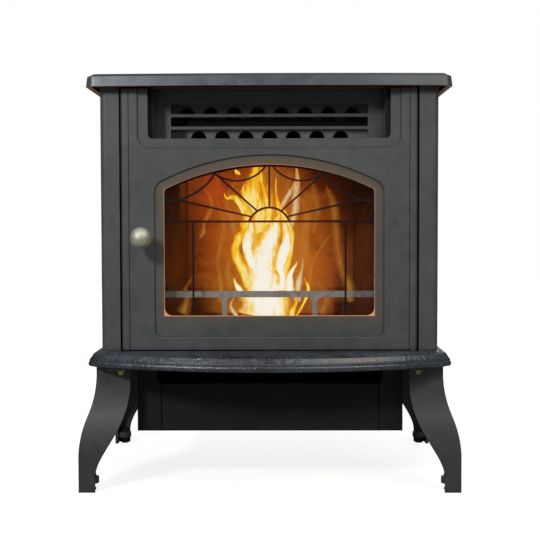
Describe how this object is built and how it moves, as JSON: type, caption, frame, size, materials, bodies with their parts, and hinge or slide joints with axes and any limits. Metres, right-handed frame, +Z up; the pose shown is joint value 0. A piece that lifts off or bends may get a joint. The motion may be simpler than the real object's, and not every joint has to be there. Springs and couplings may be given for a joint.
{
  "type": "pellet stove",
  "caption": "Free-standing pellet stove on flared legs, with an arched glass door, sunburst grille, warm-air louvre, hopper, auger feed, blowers and ash drawer.",
  "frame": {"origin": "on the floor, under the middle of the overall box", "axes": "+Z up, front faces -Y, +X to the viewer's right"},
  "size_m": [0.682, 0.563, 0.7563],
  "materials": {
    "cast_iron_charcoal": "satin high-temperature paint over casting",
    "cast_iron_top": "satin high-temperature paint over hand-finished casting",
    "cast_iron_base": "textured high-temperature paint over casting",
    "cast_iron_leg": "matt high-temperature paint over casting",
    "sheet_charcoal": "satin high-temperature paint on sheet",
    "sheet_black": "matt black high-temperature paint on sheet",
    "burst_black": "matt black paint on cut steel bar",
    "glass_ceramic": "polished ceramic glass",
    "glass_fibre_tape": "woven and braided glass fibre",
    "nickel_satin": "satin nickel plate",
    "steel_turned": "turned",
    "steel_plated": "zinc plated",
    "zinc_yellow": "yellow zinc chromate plate",
    "zinc_black": "black oxide",
    "firebox_steel": "heat-tinted steel",
    "liner_cast": "as cast, sooted",
    "guard_steel": "hot-rolled bar",
    "igniter_alloy": "oxidised alloy tube",
    "galvanised_sheet": "spangled galvanised sheet",
    "auger_steel": "mill finish",
    "motor_paint": "black stoved paint",
    "blower_steel": "pressed sheet",
    "flue_black": "matt black stove pipe paint",
    "control_plastic": "moulded, fine spark texture"
  },
  "bodies": {
    "stove": {"air_intake_pipe": "flue_black", "ash_box": "sheet_black", "auger_bushing": "steel_turned", "auger_motor": "motor_paint", "auger_tube": "auger_steel", "back_liner": "liner_cast", "back_panel": "sheet_charcoal", "baffle": "firebox_steel", "base_plate": "cast_iron_base", "burn_pot": "liner_cast", "combustion_blower_housing": "blower_steel", "combustion_motor": "motor_paint", "control_panel": "control_plastic", "convection_blower_housing": "galvanised_sheet", "convection_motor": "motor_paint", "drop_tube": "firebox_steel", "exhaust_pipe": "flue_black", "fire_guard": "guard_steel", "firebox": "firebox_steel", "front_frame": "sheet_black", "heat_tubes": "firebox_steel", "hopper": "galvanised_sheet", "hopper_gasket": "glass_fibre_tape", "igniter": "igniter_alloy", "latch_catch": "steel_turned", "leg_bolts": "zinc_yellow", "leg_front_left": "cast_iron_leg", "leg_front_right": "cast_iron_leg", "leg_rear_left": "cast_iron_leg", "leg_rear_right": "cast_iron_leg", "levelling_bolts": "zinc_black", "lid_hinge_brackets": "steel_plated", "lid_hinge_pins": "steel_turned", "louvre_grille": "sheet_charcoal", "panel_screws": "zinc_black", "power_inlet": "control_plastic", "side_panel_left": "sheet_charcoal", "side_panel_right": "sheet_charcoal", "top_plate": "cast_iron_top"},
    "door": {"door_panel": "cast_iron_charcoal", "sunburst_grille": "burst_black", "door_glass": "glass_ceramic", "glass_gasket": "glass_fibre_tape", "glass_clips": "steel_plated", "clip_screws": "steel_plated", "door_rope": "glass_fibre_tape", "hinge_pins": "steel_turned"},
    "latch": {"door_knob": "nickel_satin", "latch_shaft": "steel_turned", "latch_cam": "steel_turned"},
    "lid": {"hopper_lid": "cast_iron_top"},
    "drawer": {"ash_drawer": "sheet_black"},
    "auger": {"auger_screw": "auger_steel"},
    "flue_fan": {"combustion_impeller": "blower_steel"},
    "room_fan": {"convection_wheel": "blower_steel"},
    "heat_dial": {"heat_knob": "control_plastic"},
    "fan_dial": {"fan_knob": "control_plastic"}
  },
  "joints": [
    {"name": "door_hinge", "type": "hinge", "parent": "stove", "child": "door", "pos_m": [0.25865, -0.18085, 0.487], "axis": [0, 0, 1], "range_deg": [0, 100]},
    {"name": "latch_turn", "type": "hinge", "parent": "door", "child": "latch", "pos_m": [-0.2253, -0.1805, 0.4545], "axis": [0, -1, 0], "range_deg": [0, 90]},
    {"name": "lid_hinge", "type": "hinge", "parent": "stove", "child": "lid", "pos_m": [0, 0.2325, 0.751], "axis": [-1, 0, 0], "range_deg": [0, 80]},
    {"name": "drawer_slide", "type": "slide", "parent": "stove", "child": "drawer", "axis": [0, -1, 0], "range_m": [0, 0.3]},
    {"name": "auger_turn", "type": "hinge", "parent": "stove", "child": "auger", "pos_m": [0, 0.0815, 0.46], "axis": [0, 0.6428, -0.766], "continuous": true},
    {"name": "flue_fan_turn", "type": "hinge", "parent": "stove", "child": "flue_fan", "pos_m": [0.15, 0.1515, 0.325], "axis": [1, 0, 0], "continuous": true},
    {"name": "room_fan_turn", "type": "hinge", "parent": "stove", "child": "room_fan", "pos_m": [-0.2, 0.1515, 0.336], "axis": [1, 0, 0], "continuous": true},
    {"name": "heat_dial_turn", "type": "hinge", "parent": "stove", "child": "heat_dial", "pos_m": [0.303, 0.1585, 0.653], "axis": [-1, 0, 0], "range_deg": [0, 270]},
    {"name": "fan_dial_turn", "type": "hinge", "parent": "stove", "child": "fan_dial", "pos_m": [0.303, 0.1585, 0.597], "axis": [-1, 0, 0], "range_deg": [0, 270]}
  ]
}
